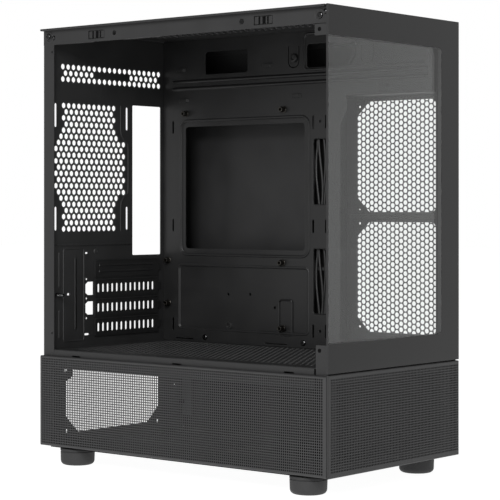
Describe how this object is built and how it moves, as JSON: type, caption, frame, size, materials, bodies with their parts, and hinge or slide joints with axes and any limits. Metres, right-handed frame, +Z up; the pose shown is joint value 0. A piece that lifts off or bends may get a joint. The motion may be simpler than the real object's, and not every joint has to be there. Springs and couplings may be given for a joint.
{
  "type": "desktop computer tower",
  "caption": "Empty desktop computer tower: black steel chassis with open side, clear glass front over a perforated lower panel, vented side panels, rear slots and round feet.",
  "frame": {"origin": "centre of the bounding box's base, at floor level under the feet", "axes": "+Z up, +Y to the rear, so the glass front faces -Y; +X to the closed cable side, so the open side faces -X"},
  "size_m": [0.213, 0.3634, 0.4404],
  "materials": {
    "painted_steel": "satin black powder coat",
    "inner_steel": "satin black powder coat",
    "perforated_steel": "satin black powder coat",
    "tinted_glass": "clear with a black printed border",
    "black_rubber": "matte",
    "black_plastic": "matte",
    "satin_button": "satin",
    "circuit_board": "solder mask",
    "standoff_metal": "dark plated",
    "plated_steel": "black zinc"
  },
  "bodies": {
    "chassis": {"bottom_pan": "painted_steel", "rear_panel": "painted_steel", "top_panel": "painted_steel", "front_frame": "painted_steel", "motherboard_tray": "inner_steel", "psu_shroud": "painted_steel", "side_fan_bracket": "inner_steel", "ssd_bracket": "inner_steel", "slot_cover_1": "inner_steel", "slot_cover_2": "inner_steel", "slot_cover_3": "inner_steel", "slot_cover_4": "inner_steel", "foot_front_left": "black_rubber", "foot_front_right": "black_rubber", "foot_rear_left": "black_rubber", "foot_rear_right": "black_rubber", "standoff_1": "standoff_metal", "standoff_2": "standoff_metal", "standoff_3": "standoff_metal", "standoff_4": "standoff_metal", "standoff_5": "standoff_metal", "standoff_6": "standoff_metal", "rail_screw_front": "plated_steel", "rail_screw_rear": "plated_steel", "tray_screw_front": "plated_steel", "tray_screw_rear": "plated_steel", "panel_catch_front": "black_plastic", "panel_catch_rear": "black_plastic", "io_housing": "black_plastic", "io_board": "circuit_board", "usb_port_front": "plated_steel", "usb_port_rear": "plated_steel", "audio_jack": "black_plastic", "front_usb_cable": "black_rubber", "front_usb_plug": "black_plastic", "front_audio_cable": "black_rubber", "front_audio_plug": "black_plastic", "switch_leads": "black_rubber", "switch_plug": "black_plastic", "cable_tie_1": "black_plastic", "cable_tie_2": "black_plastic"},
    "front_window": {"front_glass": "tinted_glass", "front_glass_carrier": "inner_steel"},
    "front_grille": {"front_lower_grille": "perforated_steel"},
    "left_grille": {"left_lower_grille": "perforated_steel"},
    "right_cover": {"right_side_panel": "painted_steel"},
    "right_screw_lower": {"right_panel_screw_lower": "plated_steel"},
    "right_screw_upper": {"right_panel_screw_upper": "plated_steel"},
    "slot_lock": {"slot_lock_plate": "inner_steel"},
    "lock_screw": {"slot_lock_screw": "plated_steel"},
    "top_filter": {"top_dust_filter": "black_plastic"},
    "bottom_filter": {"bottom_dust_filter": "black_plastic"},
    "power_key": {"power_button": "satin_button"},
    "reset_key": {"reset_button": "satin_button"}
  },
  "joints": [
    {"name": "power_button_press", "type": "slide", "parent": "chassis", "child": "power_key", "axis": [0, 0, -1], "range_m": [0, 0.0012], "stiffness_N_per_m": 800},
    {"name": "reset_button_press", "type": "slide", "parent": "chassis", "child": "reset_key", "axis": [0, 0, -1], "range_m": [0, 0.001], "stiffness_N_per_m": 600},
    {"name": "front_window_pull", "type": "slide", "parent": "chassis", "child": "front_window", "axis": [0, -1, 0], "range_m": [0, 0.06]},
    {"name": "front_grille_pull", "type": "slide", "parent": "chassis", "child": "front_grille", "axis": [0, -1, 0], "range_m": [0, 0.05]},
    {"name": "left_grille_pull", "type": "slide", "parent": "chassis", "child": "left_grille", "axis": [-1, 0, 0], "range_m": [0, 0.05]},
    {"name": "right_cover_slide", "type": "slide", "parent": "chassis", "child": "right_cover", "axis": [0, 1, 0], "range_m": [0, 0.02]},
    {"name": "right_screw_lower_out", "type": "slide", "parent": "right_cover", "child": "right_screw_lower", "axis": [0, 1, 0], "range_m": [0, 0.009]},
    {"name": "right_screw_upper_out", "type": "slide", "parent": "right_cover", "child": "right_screw_upper", "axis": [0, 1, 0], "range_m": [0, 0.009]},
    {"name": "slot_lock_slide", "type": "slide", "parent": "chassis", "child": "slot_lock", "axis": [0, 1, 0], "range_m": [0, 0.016]},
    {"name": "lock_screw_out", "type": "slide", "parent": "slot_lock", "child": "lock_screw", "axis": [0, 1, 0], "range_m": [0, 0.013]},
    {"name": "top_filter_lift", "type": "slide", "parent": "chassis", "child": "top_filter", "axis": [0, 0, 1], "range_m": [0, 0.05]},
    {"name": "bottom_filter_slide", "type": "slide", "parent": "chassis", "child": "bottom_filter", "axis": [0, 1, 0], "range_m": [0, 0.19]}
  ]
}
